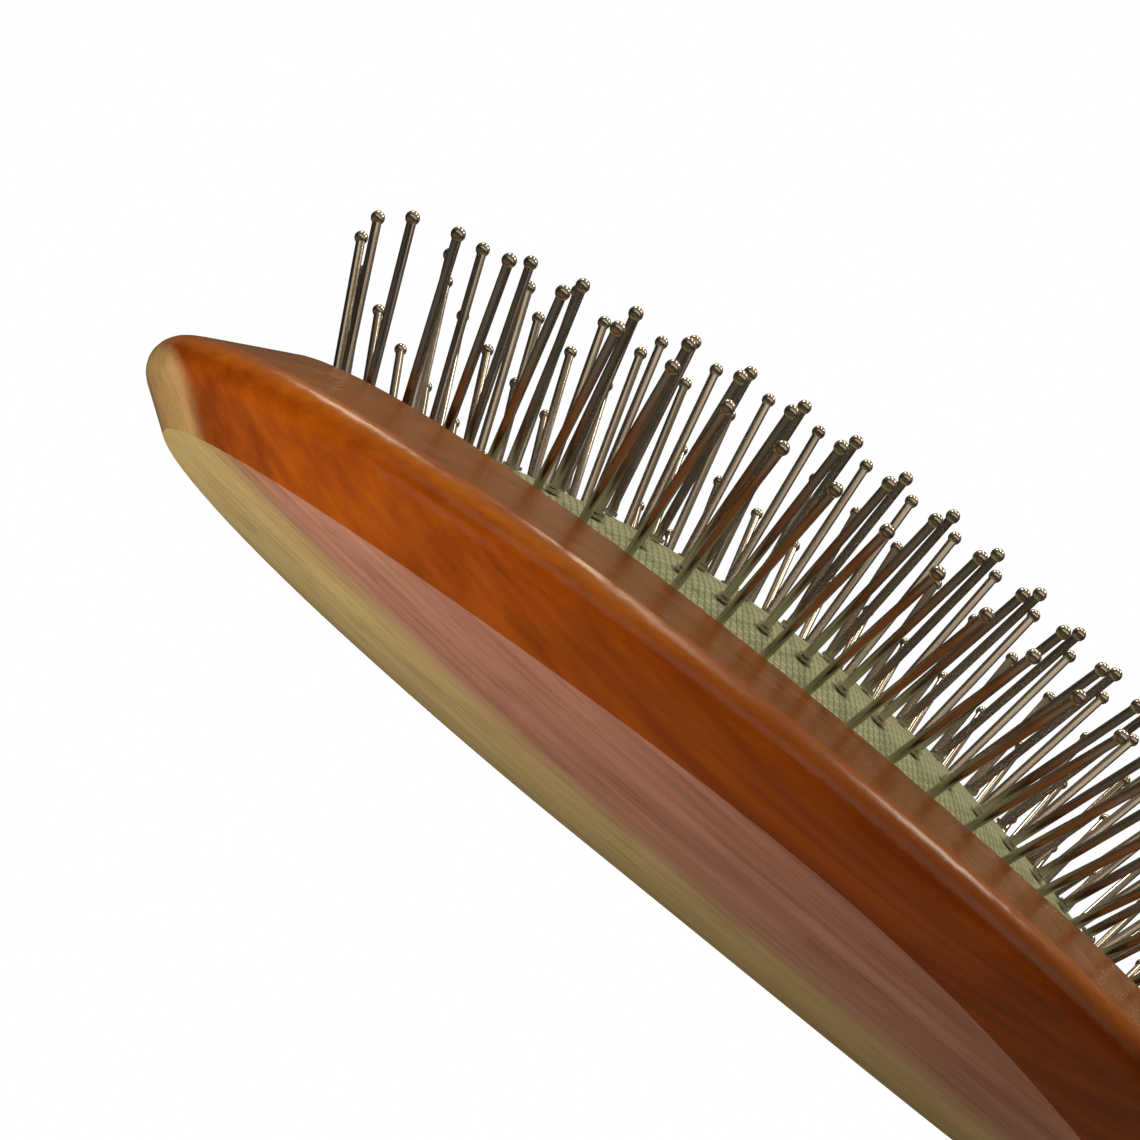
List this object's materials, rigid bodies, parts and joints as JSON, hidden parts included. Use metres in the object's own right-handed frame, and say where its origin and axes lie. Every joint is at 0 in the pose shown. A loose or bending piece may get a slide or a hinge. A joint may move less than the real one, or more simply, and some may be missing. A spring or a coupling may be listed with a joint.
{
  "type": "pin brush",
  "caption": "Oval wooden pin brush for pets: straight ball-tipped steel pins in a domed canvas-faced air cushion, with a wooden handle.",
  "frame": {"origin": "middle of the brush's length and width, at the height of the surface that its back lies on", "axes": "+Z out of the cushion along the pins, +X from the head's toe to the handle's end, +Y to the left of somebody who holds the handle with the pins up"},
  "size_m": [0.2338, 0.0738, 0.0402],
  "materials": {
    "wood": "clear gloss varnish over fine straight grain",
    "canvas": "fine plain weave, matt",
    "rubber": "matt natural rubber",
    "pin_steel": "polished"
  },
  "bodies": {
    "brush_body": {"wooden_body": "wood", "canvas_facing": "canvas", "rubber_cushion": "rubber"},
    "cushion_middle": {"inner_ring_pins_heel_zone8": "pin_steel", "inner_ring_pins_toe_zone8": "pin_steel", "third_ring_pins_heel_zone8": "pin_steel", "third_ring_pins_toe_zone8": "pin_steel"},
    "cushion_zone_7": {"second_ring_pins_heel_zone7": "pin_steel", "second_ring_pins_toe_zone7": "pin_steel", "third_ring_pins_heel_zone7": "pin_steel", "third_ring_pins_toe_zone7": "pin_steel"},
    "cushion_zone_6": {"second_ring_pins_heel_zone6": "pin_steel", "second_ring_pins_toe_zone6": "pin_steel", "third_ring_pins_heel_zone6": "pin_steel", "third_ring_pins_toe_zone6": "pin_steel"},
    "cushion_zone_5": {"second_ring_pins_heel_zone5": "pin_steel", "second_ring_pins_toe_zone5": "pin_steel"},
    "cushion_zone_4": {"second_ring_pins_heel_zone4": "pin_steel", "second_ring_pins_toe_zone4": "pin_steel"},
    "cushion_zone_3": {"outer_ring_pins_heel_zone3": "pin_steel", "outer_ring_pins_toe_zone3": "pin_steel"},
    "cushion_zone_2": {"outer_ring_pins_heel_zone2": "pin_steel", "outer_ring_pins_toe_zone2": "pin_steel"}
  },
  "joints": [
    {"name": "cushion_press", "type": "slide", "parent": "brush_body", "child": "cushion_middle", "axis": [0, 0, -1], "range_m": [0, 0.005], "stiffness_N_per_m": 2500, "deforming": ["canvas_facing", "rubber_cushion"]},
    {"name": "zone_7_press", "type": "slide", "parent": "brush_body", "child": "cushion_zone_7", "axis": [0, 0, -1], "range_m": [0, 0.00406]},
    {"name": "zone_6_press", "type": "slide", "parent": "brush_body", "child": "cushion_zone_6", "axis": [0, 0, -1], "range_m": [0, 0.00344]},
    {"name": "zone_5_press", "type": "slide", "parent": "brush_body", "child": "cushion_zone_5", "axis": [0, 0, -1], "range_m": [0, 0.00281]},
    {"name": "zone_4_press", "type": "slide", "parent": "brush_body", "child": "cushion_zone_4", "axis": [0, 0, -1], "range_m": [0, 0.00219]},
    {"name": "zone_3_press", "type": "slide", "parent": "brush_body", "child": "cushion_zone_3", "axis": [0, 0, -1], "range_m": [0, 0.00156]},
    {"name": "zone_2_press", "type": "slide", "parent": "brush_body", "child": "cushion_zone_2", "axis": [0, 0, -1], "range_m": [0, 0.0009375]}
  ],
  "couplings": [
    {"joint": "zone_7_press", "follows": "cushion_press", "ratio": 0.8125},
    {"joint": "zone_6_press", "follows": "cushion_press", "ratio": 0.6875},
    {"joint": "zone_5_press", "follows": "cushion_press", "ratio": 0.5625},
    {"joint": "zone_4_press", "follows": "cushion_press", "ratio": 0.4375},
    {"joint": "zone_3_press", "follows": "cushion_press", "ratio": 0.3125},
    {"joint": "zone_2_press", "follows": "cushion_press", "ratio": 0.1875}
  ]
}
